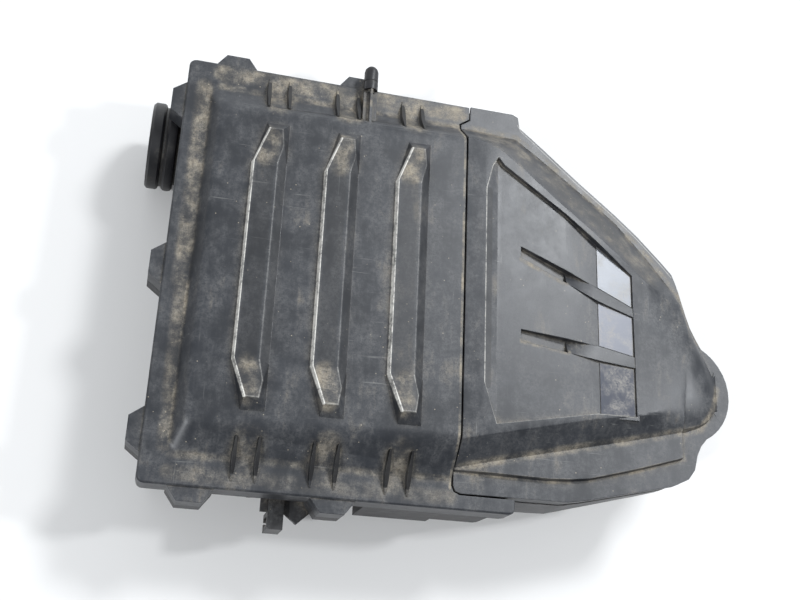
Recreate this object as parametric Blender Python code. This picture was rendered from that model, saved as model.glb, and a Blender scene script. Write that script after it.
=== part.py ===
"""Engine air filter housing: case, ribbed cover, outlet hood, filter element, seals, mounts and screws.

Frame: X runs from the inlet side to the outlet nose, Y to the side with the locating post, Z up.
The origin is on the case's flat underside. Plan positions are given as (u, y): u is measured from the
left edge of the rim. Heights written as h are measured from the top of the rim flange.
"""
import math

import bmesh
import bpy

MM = 0.001
CASE_LENGTH = 285.0
HALF_WIDTH = 176.0
RIM_HEIGHT = 100.0
SKIRT_DEPTH = 20.0
LEFT_EDGE = -225.0
WALL = 2.6
SEAM_U = 234.6
SEAM_GAP = 1.5
TONGUE_WIDTH = 11.4
CREASE_START = 12.0
CREASE_RISE = 10.0 / 206.5
NOSE_CENTRE = (431.0, -61.0)
NOSE_RADIUS = 44.5
HOOD_HEIGHT = 24.0
RIB_LINES = (85.5, 143.8, 202.5)
RIB_TOP, RIB_END = 120.0, -120.0
GUSSET_PAIRS = ((67.0, 84.0), (124.5, 142.5), (181.5, 198.5))
POST_U, POST_H = 151.0, 9.0
TABS = ((39.0, 1), (143.0, 1), (39.0, -1), (143.0, -1))
SIDE_TABS = (137.0, -7.0, -137.0)
TAB_REACH = 10.5
INLET_Y, INLET_Z = 122.0, 40.0
SPIGOT_OUTER, SPIGOT_INNER = 31.0, 28.0
DECK_Z = 79.7
FLOOR_STEP_U, FLOOR_STEP_Z = 246.0, 35.0
DUCT_SCREWS = ((298.0, 147.5), (412.0, 52.0), (412.0, -133.5), (300.0, -153.5))
MOUNT_U = (62.0, 196.0)

for old in list(bpy.data.objects):
    bpy.data.objects.remove(old)


def material(name, colour, roughness, metallic=0.0):
    made = bpy.data.materials.new(name)
    made.use_nodes = True
    shader = made.node_tree.nodes["Principled BSDF"]
    shader.inputs["Base Color"].default_value = (*colour, 1.0)
    shader.inputs["Roughness"].default_value = roughness
    shader.inputs["Metallic"].default_value = metallic
    return made


def world(point):
    u, y, z = point
    return ((LEFT_EDGE + u) * MM, y * MM, z * MM)


def build(name, bodies, made, smooth=False):
    """One mesh object from closed bodies, each a list of equal loops.

    A ring body joins its last loop to its first; any other body is capped at both ends.
    """
    mesh = bpy.data.meshes.new(name)
    grid = bmesh.new()
    for loops, ring in bodies:
        rows = [[grid.verts.new(world(p)) for p in loop] for loop in loops]
        following = rows[1:] + rows[:1] if ring else rows[1:]
        for low, high in zip(rows, following):
            count = len(low)
            for i in range(count):
                j = (i + 1) % count
                grid.faces.new((low[i], low[j], high[j], high[i]))
        if not ring:
            grid.faces.new(rows[0][::-1])
            grid.faces.new(rows[-1])
    bmesh.ops.recalc_face_normals(grid, faces=grid.faces)
    bmesh.ops.triangulate(grid, faces=grid.faces)
    grid.to_mesh(mesh)
    grid.free()
    if smooth:
        mesh.polygons.foreach_set("use_smooth", [True] * len(mesh.polygons))
        mesh.set_sharp_from_angle(angle=math.radians(35))
    mesh.materials.append(made)
    piece = bpy.data.objects.new(name, mesh)
    bpy.context.scene.collection.objects.link(piece)
    return piece


def combine(piece, operand, operation, solver="EXACT"):
    step = piece.modifiers.new(operand.name, "BOOLEAN")
    step.operation = operation
    step.solver = solver
    step.object = operand
    operand.hide_render = True
    operand.display_type = "WIRE"


def join(piece, name, bodies, solver="EXACT"):
    combine(piece, build(name, bodies, piece.data.materials[0]), "UNION", solver)


def cut(piece, name, bodies, solver="EXACT"):
    combine(piece, build(name, bodies, piece.data.materials[0]), "DIFFERENCE", solver)


def fillet(corners, steps=4):
    """Polygon whose corners (u, y, radius) are replaced by arcs of steps + 1 points."""
    points = []
    count = len(corners)
    for i, (cu, cy, radius) in enumerate(corners):
        pu, py, _ = corners[i - 1]
        nu, ny, _ = corners[(i + 1) % count]
        back = math.atan2(py - cy, pu - cu)
        ahead = math.atan2(ny - cy, nu - cu)
        turn = (ahead - back + math.pi) % (2 * math.pi) - math.pi
        half = abs(turn) / 2
        reach = radius / math.tan(half)
        middle = back + turn / 2
        centre = radius / math.sin(half)
        mu, my = cu + centre * math.cos(middle), cy + centre * math.sin(middle)
        start = math.atan2(cy + reach * math.sin(back) - my, cu + reach * math.cos(back) - mu)
        end = math.atan2(cy + reach * math.sin(ahead) - my, cu + reach * math.cos(ahead) - mu)
        sweep = (end - start + math.pi) % (2 * math.pi) - math.pi
        for k in range(steps + 1):
            angle = start + sweep * k / steps
            points.append((mu + radius * math.cos(angle), my + radius * math.sin(angle)))
    return points


def inset(points, distance):
    """The polygon moved inwards by distance, with mitred corners."""
    count = len(points)
    area = sum(points[i - 1][0] * points[i][1] - points[i][0] * points[i - 1][1] for i in range(count))
    side = 1 if area > 0 else -1
    moved = []
    for i, (u, y) in enumerate(points):
        au, ay = u - points[i - 1][0], y - points[i - 1][1]
        bu, by = points[(i + 1) % count][0] - u, points[(i + 1) % count][1] - y
        la, lb = math.hypot(au, ay), math.hypot(bu, by)
        n1 = (-ay / la * side, au / la * side)
        n2 = (-by / lb * side, bu / lb * side)
        scale = distance / max(0.3, 1 + n1[0] * n2[0] + n1[1] * n2[1])
        moved.append((u + (n1[0] + n2[0]) * scale, y + (n1[1] + n2[1]) * scale))
    return moved


def at(points, z):
    return [(u, y, z) for u, y in points]


def prism(points, z0, z1):
    return ([at(points, z0), at(points, z1)], False)


def plate_ring(outer, inner, z0, z1):
    """Flat ring between two outlines of equal point count."""
    return ([at(outer, z0), at(outer, z1), at(inner, z1), at(inner, z0)], True)


def box(u0, u1, y0, y1, z0, z1):
    return prism([(u0, y0), (u1, y0), (u1, y1), (u0, y1)], z0, z1)


def rectangle(u0, u1, y0, y1, radius, steps=4):
    return fillet([(u0, y0, radius), (u1, y0, radius), (u1, y1, radius), (u0, y1, radius)], steps)


def turned(centre, axis, profile, segments, ring=False):
    """Body of revolution: profile is (radius, distance along axis); axis is one of 'x', 'y', 'z'."""
    cu, cy, cz = centre
    loops = []
    for radius, along in profile:
        loop = []
        for k in range(segments):
            angle = 2 * math.pi * k / segments
            a, b = radius * math.cos(angle), radius * math.sin(angle)
            if axis == "z":
                loop.append((cu + a, cy + b, cz + along))
            elif axis == "x":
                loop.append((cu + along, cy + a, cz + b))
            else:
                loop.append((cu + a, cy + along, cz + b))
        loops.append(loop)
    return (loops, ring)


def along(breaks, u):
    """Value of a line drawn through (u, value) breaks."""
    if u <= breaks[0][0]:
        return breaks[0][1]
    for (u0, v0), (u1, v1) in zip(breaks, breaks[1:]):
        if u <= u1:
            return v0 + (v1 - v0) * (u - u0) / (u1 - u0)
    return breaks[-1][1]


BLACK_PLASTIC = material("moulded_plastic", (0.045, 0.047, 0.052), 0.55)
HOOD_PLASTIC = material("hood_plastic", (0.045, 0.047, 0.052), 0.5)
CASE_PLASTIC = material("case_plastic", (0.03, 0.03, 0.033), 0.6)
DUCT_PLASTIC = material("duct_plastic", (0.035, 0.035, 0.038), 0.55)
CLIP_PLASTIC = material("clip_plastic", (0.015, 0.015, 0.016), 0.5)
RUBBER = material("black_rubber", (0.012, 0.012, 0.013), 0.45)
ACCENT = material("dark_chrome", (0.35, 0.36, 0.38), 0.2, 0.9)
STEEL = material("zinc_plated_steel", (0.45, 0.44, 0.4), 0.4, 1.0)
PAPER = material("filter_paper", (0.75, 0.7, 0.55), 0.9)
FOAM = material("seal_foam", (0.05, 0.05, 0.05), 0.85)


# Main cover ---------------------------------------------------------------------------------------

def crease_height(u):
    return CREASE_START + CREASE_RISE * (u - 28.0)


def on_crease(points, drop):
    return [(u, y, RIM_HEIGHT + crease_height(u) - drop) for u, y in points]


def between(start, end, share):
    """The loop a share of the way from one loop to another, point by point."""
    return [tuple(a + (b - a) * share for a, b in zip(p, q)) for p, q in zip(start, end)]


def rounded(start, corner, end, count):
    """Loops that round off a corner loop, from start to end."""
    shares = [k / (count - 1) for k in range(count)]
    return [between(between(start, corner, s), between(corner, end, s), s) for s in shares]


def cover_shell():
    length, half = CASE_LENGTH, HALF_WIDTH
    rim = fillet([(0, -half, 6), (length, -half, 5), (length, half, 5), (0, half, 6)])
    foot = fillet([(20, -153, 9), (268, -153, 9), (268, 153, 9), (20, 153, 9)])
    crease = fillet([(28, -131, 7), (262, -125, 7), (262, 132.4, 7), (28, 131, 7)])
    top = RIM_HEIGHT
    wall_low, wall_high = at(foot, top), on_crease(crease, 0.0)
    outer = [
        at(rim, top - SKIRT_DEPTH),
        at(rim, top - 1.2),
        at(inset(rim, 1.2), top),
        *rounded(at(inset(foot, -2.6), top), wall_low, between(wall_low, wall_high, 0.13), 3),
        *rounded(between(wall_high, wall_low, 0.2), wall_high, on_crease(inset(crease, 4.2), 0.0), 4),
    ]
    inner = [
        on_crease(inset(crease, 1.5), WALL),
        at(inset(foot, -1.0), top - WALL),
        at(inset(rim, WALL + 0.8), top - WALL),
        at(inset(rim, WALL), top - WALL - 0.8),
        at(inset(rim, WALL), top - SKIRT_DEPTH),
    ]
    return outer, inner


def shell_object(name, outer, inner, made):
    """Closed shell: outer loops run up to a capped top, inner loops run back down from a capped ceiling."""
    mesh = bpy.data.meshes.new(name)
    grid = bmesh.new()
    rows = [[grid.verts.new(world(p)) for p in loop] for loop in outer + inner]
    split = len(outer)
    for k in range(len(rows) - 1):
        if k == split - 1:
            continue
        for i in range(len(rows[k])):
            j = (i + 1) % len(rows[k])
            grid.faces.new((rows[k][i], rows[k][j], rows[k + 1][j], rows[k + 1][i]))
    for i in range(len(rows[0])):
        j = (i + 1) % len(rows[0])
        grid.faces.new((rows[-1][i], rows[-1][j], rows[0][j], rows[0][i]))
    grid.faces.new(rows[split - 1])
    grid.faces.new(rows[split])
    bmesh.ops.recalc_face_normals(grid, faces=grid.faces)
    bmesh.ops.triangulate(grid, faces=grid.faces)
    grid.to_mesh(mesh)
    grid.free()
    mesh.materials.append(made)
    piece = bpy.data.objects.new(name, mesh)
    bpy.context.scene.collection.objects.link(piece)
    return piece


def rib(right):
    """Long rib: steep left wall, wide right slope, a low crest between two raised end blocks."""
    left, end = right - 28.0, right - 18.5
    foot = [
        (end, RIB_TOP), (right, RIB_TOP), (right, RIB_TOP - 20), (right, RIB_TOP - 37), (right, RIB_END + 37),
        (right, RIB_END + 20), (right, RIB_END), (end, RIB_END), (left, RIB_END + 37), (left, RIB_TOP - 37),
    ]
    crest = [
        (end + 1.6, RIB_TOP - 9, 7.5), (right - 6.5, RIB_TOP - 9, 7.5), (right - 4.5, RIB_TOP - 22, 6.2),
        (right - 8.0, RIB_TOP - 38, 4.6), (right - 8.0, RIB_END + 38, 4.6), (right - 4.5, RIB_END + 22, 6.2),
        (right - 6.5, RIB_END + 9, 7.5), (end + 1.6, RIB_END + 9, 7.5), (left + 1.1, RIB_END + 38, 4.8),
        (left + 1.1, RIB_TOP - 38, 4.8),
    ]
    base = [(u, y, RIM_HEIGHT + crease_height(u) - 1.2) for u, y in foot]
    line = [(u, y, RIM_HEIGHT + crease_height(u) - 0.2) for u, y in foot]
    ridge = [(u, y, RIM_HEIGHT + crease_height(u) + h) for u, y, h in crest]
    return base, line, ridge


def rib_body(name, right):
    base, line, ridge = rib(right)
    mesh = bpy.data.meshes.new(name)
    grid = bmesh.new()
    rows = [[grid.verts.new(world(p)) for p in loop] for loop in (base, line, ridge)]
    count = len(base)
    for low, high in zip(rows, rows[1:]):
        for i in range(count):
            j = (i + 1) % count
            grid.faces.new((low[i], low[j], high[j], high[i]))
    top = rows[2]
    grid.faces.new(rows[0][::-1])
    grid.faces.new((top[0], top[1], top[2], top[3], top[9]))
    grid.faces.new((top[9], top[3], top[4], top[8]))
    grid.faces.new((top[8], top[4], top[5], top[6], top[7]))
    bmesh.ops.triangulate(grid, faces=grid.faces)
    bmesh.ops.recalc_face_normals(grid, faces=grid.faces)
    grid.to_mesh(mesh)
    grid.free()
    piece = bpy.data.objects.new(name, mesh)
    bpy.context.scene.collection.objects.link(piece)
    return piece


def gusset(u, side):
    """Thin drafted web across the corner between the flange and the wall."""
    slope_y = 153.0 - 15.5
    inner_h = crease_height(u) * 15.5 / 22.0
    line = [(169.5, 0.4), (160.0, 4.2), (150.0, 8.2), (slope_y, inner_h + 0.8)]
    loops = []
    widths = (0.5, 1.5, 1.6, 0.6)
    for (y, h), half in zip(line, widths):
        low = RIM_HEIGHT - 1.5 if y > 150 else RIM_HEIGHT - 1.5 + (inner_h if y == slope_y else 1.5)
        z = RIM_HEIGHT + h
        wide = half + 0.5
        loops.append([
            (u - wide, side * y, low), (u + wide, side * y, low),
            (u + half, side * y, z), (u - half, side * y, z),
        ])
    return (loops, False)


def tab_outline(middle, side, reach=TAB_REACH, start=-1.9, along_y=False):
    near, far = 17.0, 9.2
    plan = [(-near, start), (-near, 0.0), (-far, reach), (far, reach), (near, 0.0), (near, start)]
    if along_y:
        return [(-out, middle + across) for across, out in plan]
    return [(middle + across, side * (HALF_WIDTH + out)) for across, out in plan]


def screw_places():
    places = [(middle, side * (HALF_WIDTH + 5.0)) for middle, side in TABS]
    return places + [(-5.0, middle) for middle in SIDE_TABS[1:]]


def post_section(y, reach, half):
    u, z = POST_U, RIM_HEIGHT + POST_H
    plan = [
        (reach, half), (half, half), (half, reach), (-half, reach), (-half, half), (-reach, half),
        (-reach, -half), (-half, -half), (-half, -reach), (half, -reach), (half, -half), (reach, -half),
    ]
    return [(u + a, y, z + b) for a, b in plan]


cover = shell_object("top_cover", *cover_shell(), BLACK_PLASTIC)
SEAM_CUT = [
    (CASE_LENGTH + 20, HALF_WIDTH + 20), (241.6, HALF_WIDTH + 20), (241.6, 163.4),
    (SEAM_U - SEAM_GAP, 157.4), (SEAM_U - SEAM_GAP, -HALF_WIDTH + TONGUE_WIDTH + 6.5),
    (SEAM_U + 0.6, -HALF_WIDTH + TONGUE_WIDTH + 2.0), (SEAM_U + 5.4, -HALF_WIDTH + TONGUE_WIDTH),
    (CASE_LENGTH + 20, -HALF_WIDTH + TONGUE_WIDTH),
]
cut(cover, "seam", [prism(SEAM_CUT, RIM_HEIGHT - 60, RIM_HEIGHT + 60)])
for number, line in enumerate(RIB_LINES):
    combine(cover, rib_body(f"rib_{number}", line), "UNION")
join(cover, "gussets", [gusset(u, side) for pair in GUSSET_PAIRS for u in pair for side in (1, -1)])
TAB_LOW, TAB_HIGH = RIM_HEIGHT - SKIRT_DEPTH + 0.3, RIM_HEIGHT - 2.0
tabs = [prism(tab_outline(middle, side), TAB_LOW, TAB_HIGH) for middle, side in TABS]
tabs += [prism(tab_outline(m, 1, along_y=True), TAB_LOW, TAB_HIGH) for m in SIDE_TABS]
join(cover, "tabs", tabs)
join(cover, "seal_rib", [plate_ring(
    rectangle(8, 230.5, -168, 168, 6), rectangle(10.5, 228, -165.5, 165.5, 4), DECK_Z + 8.8, RIM_HEIGHT - 1.0)])
join(cover, "post", [([post_section(y, 5.8, 1.1) for y in (130.0, 168.0)], False)])
POST_CENTRE = (POST_U, 0, RIM_HEIGHT + POST_H)
join(cover, "post_core", [turned(POST_CENTRE, "y", ((3.4, 166.0), (3.4, 184.0), (2.6, 185.5)), 16)])
cut(cover, "screw_bores", [
    turned((u, y, 0), "z", ((2.3, DECK_Z - 2), (2.3, RIM_HEIGHT - 6.0)), 12) for u, y in screw_places()])

cap_profile = (
    (3.8, 186.2), (3.8, 168.4), (6.0, 168.4), (6.0, 175.6), (5.6, 176.0), (5.6, 176.8), (6.0, 177.2),
    (6.0, 186.0), (5.3, 188.9), (3.6, 191.0), (1.4, 191.9),
)
build("post_cap", [turned(POST_CENTRE, "y", cap_profile, 20)], RUBBER, smooth=True)


# Outlet hood --------------------------------------------------------------------------------------

RIM_UPPER = [
    (SEAM_U, 156.6), (242.6, 162.4), (243.0, HALF_WIDTH), (282.0, HALF_WIDTH), (286.8, 173.5), (288.2, 163.2),
    (307.5, 148.2), (340.9, 120.4), (374.3, 94.6), (396.4, 75.9), (418.3, 54.4), (429.1, 42.8), (434.0, 28.0),
    (438.6, 10.6), (443.0, -3.5), (448.3, -14.6), (452.5, -22.0),
]
RIM_LOWER = [
    (SEAM_U, -157.4), (SEAM_U + 2.0, -161.8), (241.0, -163.4), (333.0, -162.6), (420.0, -142.0),
    (434.0, -135.0), (440.0, -127.0), (442.5, -116.0), (446.0, -107.6), (452.5, -100.0),
]
FOOT_UPPER = [
    (SEAM_U, 152.5), (243.0, 153.5), (285.0, 151.0), (307.0, 136.0), (374.0, 87.5), (405.7, 54.5),
    (431.0, 24.0), (436.0, 8.0), (443.0, -10.0),
]
CREST_UPPER = [
    (SEAM_U, 133.0), (257.0, 129.5), (277.0, 115.0), (311.5, 87.0), (345.5, 61.5), (374.0, 40.5), (402.0, 19.5),
    (419.0, 4.0), (431.0, -8.0), (443.0, -22.0),
]
CREST_UPPER_H = [
    (SEAM_U, 22.0), (257.0, 23.6), (277.0, 24.0), (345.0, 23.5), (377.0, 20.5), (402.0, 16.5), (419.0, 13.0),
    (431.0, 10.5), (443.0, 8.0),
]
CREST_LOWER = [(SEAM_U, -126.0), (345.0, -99.5), (431.0, -82.0), (443.0, -82.0)]
FOOT_LOWER = [(SEAM_U, -144.5), (318.0, -124.5), (384.0, -109.0), (431.0, -97.0), (443.0, -92.5)]
STEP_LOWER = [
    (SEAM_U, -146.0), (311.0, -146.6), (340.0, -144.7), (383.0, -133.0), (427.5, -119.1), (428.5, -118.8),
    (431.0, -101.0), (443.0, -95.5),
]
STEP_H = [(SEAM_U, 2.0), (262.0, 5.0), (427.5, 5.0), (428.5, 0.3), (443.0, 0.3)]
TOP_H = [
    (SEAM_U, 22.0), (250.0, 23.6), (262.0, 24.0), (340.0, 24.0), (360.0, 22.0), (381.0, 18.8), (400.0, 16.8),
    (420.0, 14.6), (436.0, 12.2), (446.0, 9.6), (452.5, 7.2), (457.5, 4.6), (461.0, 2.4), (464.0, 0.0),
]
SECTIONS = (
    SEAM_U, SEAM_U + 2.0, 241.0, 242.6, 243.0, 250.0, 262.0, 282.0, 285.0, 286.8, 288.2, 298.0, 311.5, 328.0,
    345.5, 361.0, 377.0, 389.0, 396.5, 402.0, 408.0, 414.0, 419.0, 423.5, 427.5, 428.5, 431.0, 434.0, 437.0,
    440.0, 443.0, 447.0, 450.0, 452.5, 455.0, 457.5, 461.0, 464.0, 468.0, 471.5, 474.0, 475.3,
)
FLATS = 6


def circle_y(u, radius, side):
    reach = max(0.0, radius ** 2 - (u - NOSE_CENTRE[0]) ** 2)
    return NOSE_CENTRE[1] + side * math.sqrt(reach)


def rim_y(u, side):
    if u > 452.5:
        return circle_y(u, NOSE_RADIUS, side)
    return along(RIM_UPPER if side > 0 else RIM_LOWER, u)


def hood_line(u):
    """Outer surface of the hood at u, from the +Y edge to the -Y edge, as (y, h)."""
    top = along(TOP_H, u)
    upper, lower = rim_y(u, 1), rim_y(u, -1)
    if u > 463.0:
        count = FLATS + 9
        inner = [upper + (lower - upper) * k / count for k in range(1, count)]
        return [(upper, 0.0)] + [(y, 0.0) for y in inner] + [(lower, 0.0)]
    if u <= 443.0:
        foot, crest, crest_h = along(FOOT_UPPER, u), along(CREST_UPPER, u), along(CREST_UPPER_H, u)
        low_crest, low_foot = along(CREST_LOWER, u), along(FOOT_LOWER, u)
        step, step_h = along(STEP_LOWER, u), along(STEP_H, u)
    else:
        blend = (u - 443.0) / 21.0
        foot = circle_y(u, 33.5, 1) + (1 - blend) ** 2 * 20.0
        foot = min(foot, upper - 2.5)
        low_foot = circle_y(u, 33.5, -1)
        span = (foot - low_foot) / 2
        crest, crest_h = foot - 0.3 * span, top * 0.62
        low_crest = low_foot + 0.3 * span
        step, step_h = low_foot - 1.2, 0.25
    plateau, plateau_low = crest - 5.0, low_crest + 3.0
    ridge = [(foot, 0.0), ((foot + crest) / 2, crest_h * 0.52), (crest, crest_h)]
    ridge += [(plateau + (plateau_low - plateau) * k / (FLATS - 1), top) for k in range(FLATS)]
    ridge += [(low_crest, top * 0.97), ((low_crest + low_foot) / 2, step_h + (top * 0.97 - step_h) * 0.52)]
    ridge.append((low_foot, step_h))
    # towards the nose the flat-topped ridge turns into a round dome
    share = min(1.0, max(0.0, (u - 392.0) / 46.0))
    share = share * share * (3.0 - 2.0 * share)
    middle, half = (foot + low_foot) / 2, (foot - low_foot) / 2
    line = []
    for k, (y, h) in enumerate(ridge):
        angle = math.pi * k / (len(ridge) - 1)
        base = step_h * k / (len(ridge) - 1)
        dome_y = middle + half * math.cos(angle)
        dome_h = base + (top - base) * max(0.0, math.sin(angle)) ** 0.9
        line.append((y + (dome_y - y) * share, h + (dome_h - h) * share))
    return [(upper, 0.0)] + line + [(step, step_h), (step - 0.9, 0.0), (lower, 0.0)]


def hood_section(u):
    line = hood_line(u)
    # the steep end of the dome needs more vertical depth for the same wall
    depth = WALL if u < 436 else WALL + 1.6
    outer = [(u, y, RIM_HEIGHT + h) for y, h in line]
    inner = [(u, y, RIM_HEIGHT + max(h - depth, -WALL)) for y, h in line]
    return outer + inner[::-1]


def recess_depth(u):
    return along([(250.5, 0.7), (262.0, 3.7), (322.0, 3.4), (350.0, 6.0), (381.0, 7.0)], u)


PANEL_UPPER = [(250.5, 88.0), (256.0, 110.0), (261.0, 117.5), (266.0, 111.0), (320.0, 74.5), (381.0, 28.6)]
PANEL_LOWER = [(250.5, -80.0), (261.0, -112.5), (345.0, -95.5), (381.0, -93.5)]
PANEL_STATIONS = (250.5, 256.0, 261.0, 262.0, 266.0, 320.0, 322.0, 345.0, 350.0, 381.0)
STRIPS = (
    ([(282.0, 40.0), (350.0, 13.0), (384.0, -2.0)], [(282.0, 30.0), (350.0, 0.5), (384.0, -9.5)]),
    ([(282.0, -32.0), (350.0, -37.6), (384.0, -43.5)], [(282.0, -42.0), (350.0, -50.6), (384.0, -52.8)]),
)
SLOT_PAN, SLOT_PAN_TOP, ABOVE = [(282.0, 9.8), (322.0, 12.0)], [(282.0, 5.0)], [(282.0, -20.0)]
SLOT_DEPTH = [(282.0, 7.2), (322.0, 9.4), (348.0, 9.4)]
STRIP_BASE = [(322.0, 10.2), (347.0, 10.2), (351.0, 8.4), (383.0, 9.2)]
STRIP_UPPER_DEPTH = [(322.0, 9.2), (345.0, 5.0), (383.0, 5.7)]
STRIP_LOWER_DEPTH = [(322.0, 4.2), (326.0, 3.4), (350.0, 3.5), (383.0, 5.5)]
STRIP_STATIONS = (322.0, 326.0, 334.0, 345.0, 350.0, 383.0)
PLATES = {
    "accent_upper": ((350.0, 50.6), (380.4, 27.4), (380.4, 0.6), (350.0, 13.8)),
    "accent_middle": ((350.0, -0.1), (380.4, -8.9), (380.4, -42.2), (350.0, -37.0)),
    "accent_lower": ((350.0, -51.2), (380.4, -53.2), (380.4, -92.9), (350.0, -94.7)),
}


def panel_body(grow, low, high, stations=PANEL_STATIONS):
    """Solid over the panel outline, with its underside following the recess floor."""
    loops = []
    for u in stations:
        shift = u + (grow if u == stations[-1] else -grow if u == stations[0] else 0.0)
        top, bottom = along(PANEL_UPPER, u) + grow, along(PANEL_LOWER, u) - grow
        floor = RIM_HEIGHT + HOOD_HEIGHT - recess_depth(u) - low
        roof = RIM_HEIGHT + (high if high > HOOD_HEIGHT else min(high, along(TOP_H, u) - 1.0))
        loops.append([(shift, bottom, floor), (shift, top, floor), (shift, top, roof), (shift, bottom, roof)])
    return (loops, False)


def strip_body(lines, stations, base, roof_upper, roof_lower, narrow=0.0):
    """Solid between two lines; base and roofs are tables of depth below the hood top."""
    loops = []
    for u in stations:
        upper, lower = along(lines[0], u) - narrow, along(lines[1], u) + narrow
        low, high_upper, high_lower = (
            RIM_HEIGHT + HOOD_HEIGHT - along(table, u) for table in (base, roof_upper, roof_lower))
        loops.append([(u, lower, low), (u, upper, low), (u, upper, high_upper), (u, lower, high_lower)])
    return (loops, False)


def plate_body(corners, low, high, grow=0.0):
    middle_u = sum(c[0] for c in corners) / 4
    middle_y = sum(c[1] for c in corners) / 4
    loops = []
    for offset in (low, high):
        loop = []
        for u, y in corners:
            gu = u + math.copysign(grow, u - middle_u)
            gy = y + math.copysign(grow, y - middle_y)
            loop.append((gu, gy, RIM_HEIGHT + HOOD_HEIGHT - recess_depth(u) + offset))
        loops.append(loop)
    return (loops, False)


outline = [(u, rim_y(u, 1)) for u in SECTIONS] + [(u, rim_y(u, -1)) for u in reversed(SECTIONS)]
hood = build("nose_cover", [([hood_section(u) for u in SECTIONS], False)], HOOD_PLASTIC)
join(hood, "hood_skirt", [plate_ring(inset(outline, 1.3), inset(outline, 3.7), DECK_Z + 0.4, RIM_HEIGHT - 1.0)])
join(hood, "hood_bosses", [
    turned((u, y, 0), "z", ((4.2, DECK_Z + 0.8), (4.2, RIM_HEIGHT - 1.3)), 14)
    for u, y in DUCT_SCREWS], "MANIFOLD")
join(hood, "panel_pan", [panel_body(2.6, 3.6, 21.5)], "MANIFOLD")
join(hood, "slot_pans", [
    strip_body(lines, (279.4, 322.0, 351.0), SLOT_PAN, SLOT_PAN_TOP, SLOT_PAN_TOP, -2.6)
    for lines in STRIPS], "MANIFOLD")
cut(hood, "panel_recess", [panel_body(0.0, 0.0, 60.0)], "MANIFOLD")
cut(hood, "strip_slots", [
    strip_body(lines, (282.0, 322.0, 348.0), SLOT_DEPTH, ABOVE, ABOVE) for lines in STRIPS], "MANIFOLD")
join(hood, "strip_ridges", [
    strip_body(lines, STRIP_STATIONS, STRIP_BASE, STRIP_UPPER_DEPTH, STRIP_LOWER_DEPTH, 0.05)
    for lines in STRIPS], "MANIFOLD")
cut(hood, "plate_pockets", [plate_body(corners, -1.3, 30.0, 0.3) for corners in PLATES.values()], "MANIFOLD")
cut(hood, "duct_screw_bores", [
    turned((u, y, 0), "z", ((2.1, DECK_Z - 1), (2.1, RIM_HEIGHT - 6.0)), 12)
    for u, y in DUCT_SCREWS], "MANIFOLD")
for name, corners in PLATES.items():
    build(name, [plate_body(corners, -1.0, 0.3)], ACCENT)


# Lower case ---------------------------------------------------------------------------------------

def case_block(u0, u1, half, radius, z0, z1, draft, side_draft):
    """Tub-shaped block whose side walls lean in by side_draft and end walls by draft at the bottom."""
    low = rectangle(u0 + draft, u1 - draft, -half + side_draft, half - side_draft, radius)
    high = rectangle(u0, u1, -half, half, radius)
    return ([at(low, z0), at(high, z1)], False)


SIDE_DRAFT = 13.0


def stiffener(u, side):
    """Upright fin on a leaning side wall."""
    loops = []
    for near, far, z in ((154.0, 163.0, 4.0), (167.0, 175.2, 76.5)):
        loops.append([(u - 1.2, side * near, z), (u + 1.2, side * near, z), (u + 1.2, side * far, z),
                      (u - 1.2, side * far, z)])
    return (loops, False)


case = build("lower_case", [case_block(2.5, FLOOR_STEP_U, 173.5, 12, 0.0, 77.0, 1.5, SIDE_DRAFT)], CASE_PLASTIC)
join(case, "case_step", [case_block(200.0, 282.5, 173.6, 10, FLOOR_STEP_Z, 77.5, 1.0, 0.5)])
join(case, "front_bulge", [box(172.0, 233.0, -174.4, -150.0, 30.0, 77.0)])
join(case, "case_flange", [prism(rectangle(0.4, CASE_LENGTH - 0.4, -175.6, 175.6, 5), 76.0, DECK_Z)])
lugs = [prism(tab_outline(middle, side, start=-6.0), 67.0, DECK_Z) for middle, side in TABS]
lugs += [prism(tab_outline(m, 1, start=-6.0, along_y=True), 67.0, DECK_Z) for m in SIDE_TABS[1:]]
join(case, "case_lugs", lugs)
join(case, "inlet_spigot", [
    turned((0, INLET_Y, INLET_Z), "x", ((SPIGOT_OUTER, -21.0), (SPIGOT_OUTER, 6.0)), 32)])
join(case, "clip_bracket", [prism(
    [(94.0, -165.0), (136.0, -165.0), (134.0, -180.0), (122.0, -191.0), (111.5, -183.0), (94.0, -183.0)],
    61.0, 65.0)])
join(case, "mount_lugs", [
    prism(fillet([(u - 14, 158, 1), (u + 14, 158, 1), (u + 14, 200, 13.5), (u - 14, 200, 13.5)]), 24.0, 32.0)
    for u in MOUNT_U])
join(case, "case_stiffeners", [stiffener(90.0, -1)] + [stiffener(u, 1) for u in (90.0, 168.0, 226.0)])
cut(case, "tub_space", [case_block(5.5, FLOOR_STEP_U - 3.0, 170.5, 10, 3.0, 76.0, 1.2, SIDE_DRAFT)])
cut(case, "step_space", [case_block(203.0, 279.5, 170.4, 8, FLOOR_STEP_Z + 3.0, 76.0, 1.0, 0.5)])
cut(case, "case_mouth", [prism(rectangle(12.0, 226.0, -164.5, 164.5, 6), 70.0, 90.0)])
cut(case, "inlet_bore", [turned((0, INLET_Y, INLET_Z), "x", ((SPIGOT_INNER, -25.0), (SPIGOT_INNER, 12.0)), 32)])
cut(case, "lug_holes", [turned((u, y, 0), "z", ((2.7, 60.0), (2.7, 90.0)), 12) for u, y in screw_places()])
cut(case, "mount_holes", [turned((u, 186.5, 0), "z", ((7.2, 20.0), (7.2, 36.0)), 20) for u in MOUNT_U])
cut(case, "drain_hole", [turned((264.0, 60.0, 0), "z", ((6.4, 30.0), (6.4, 42.0)), 20)])


# Filter element -----------------------------------------------------------------------------------

PLEAT_PITCH, PLEAT_COUNT, PLEAT_SHEET = 8.0, 40, 1.1
PLEAT_LOW, PLEAT_HIGH = 57.0, 86.0


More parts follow.
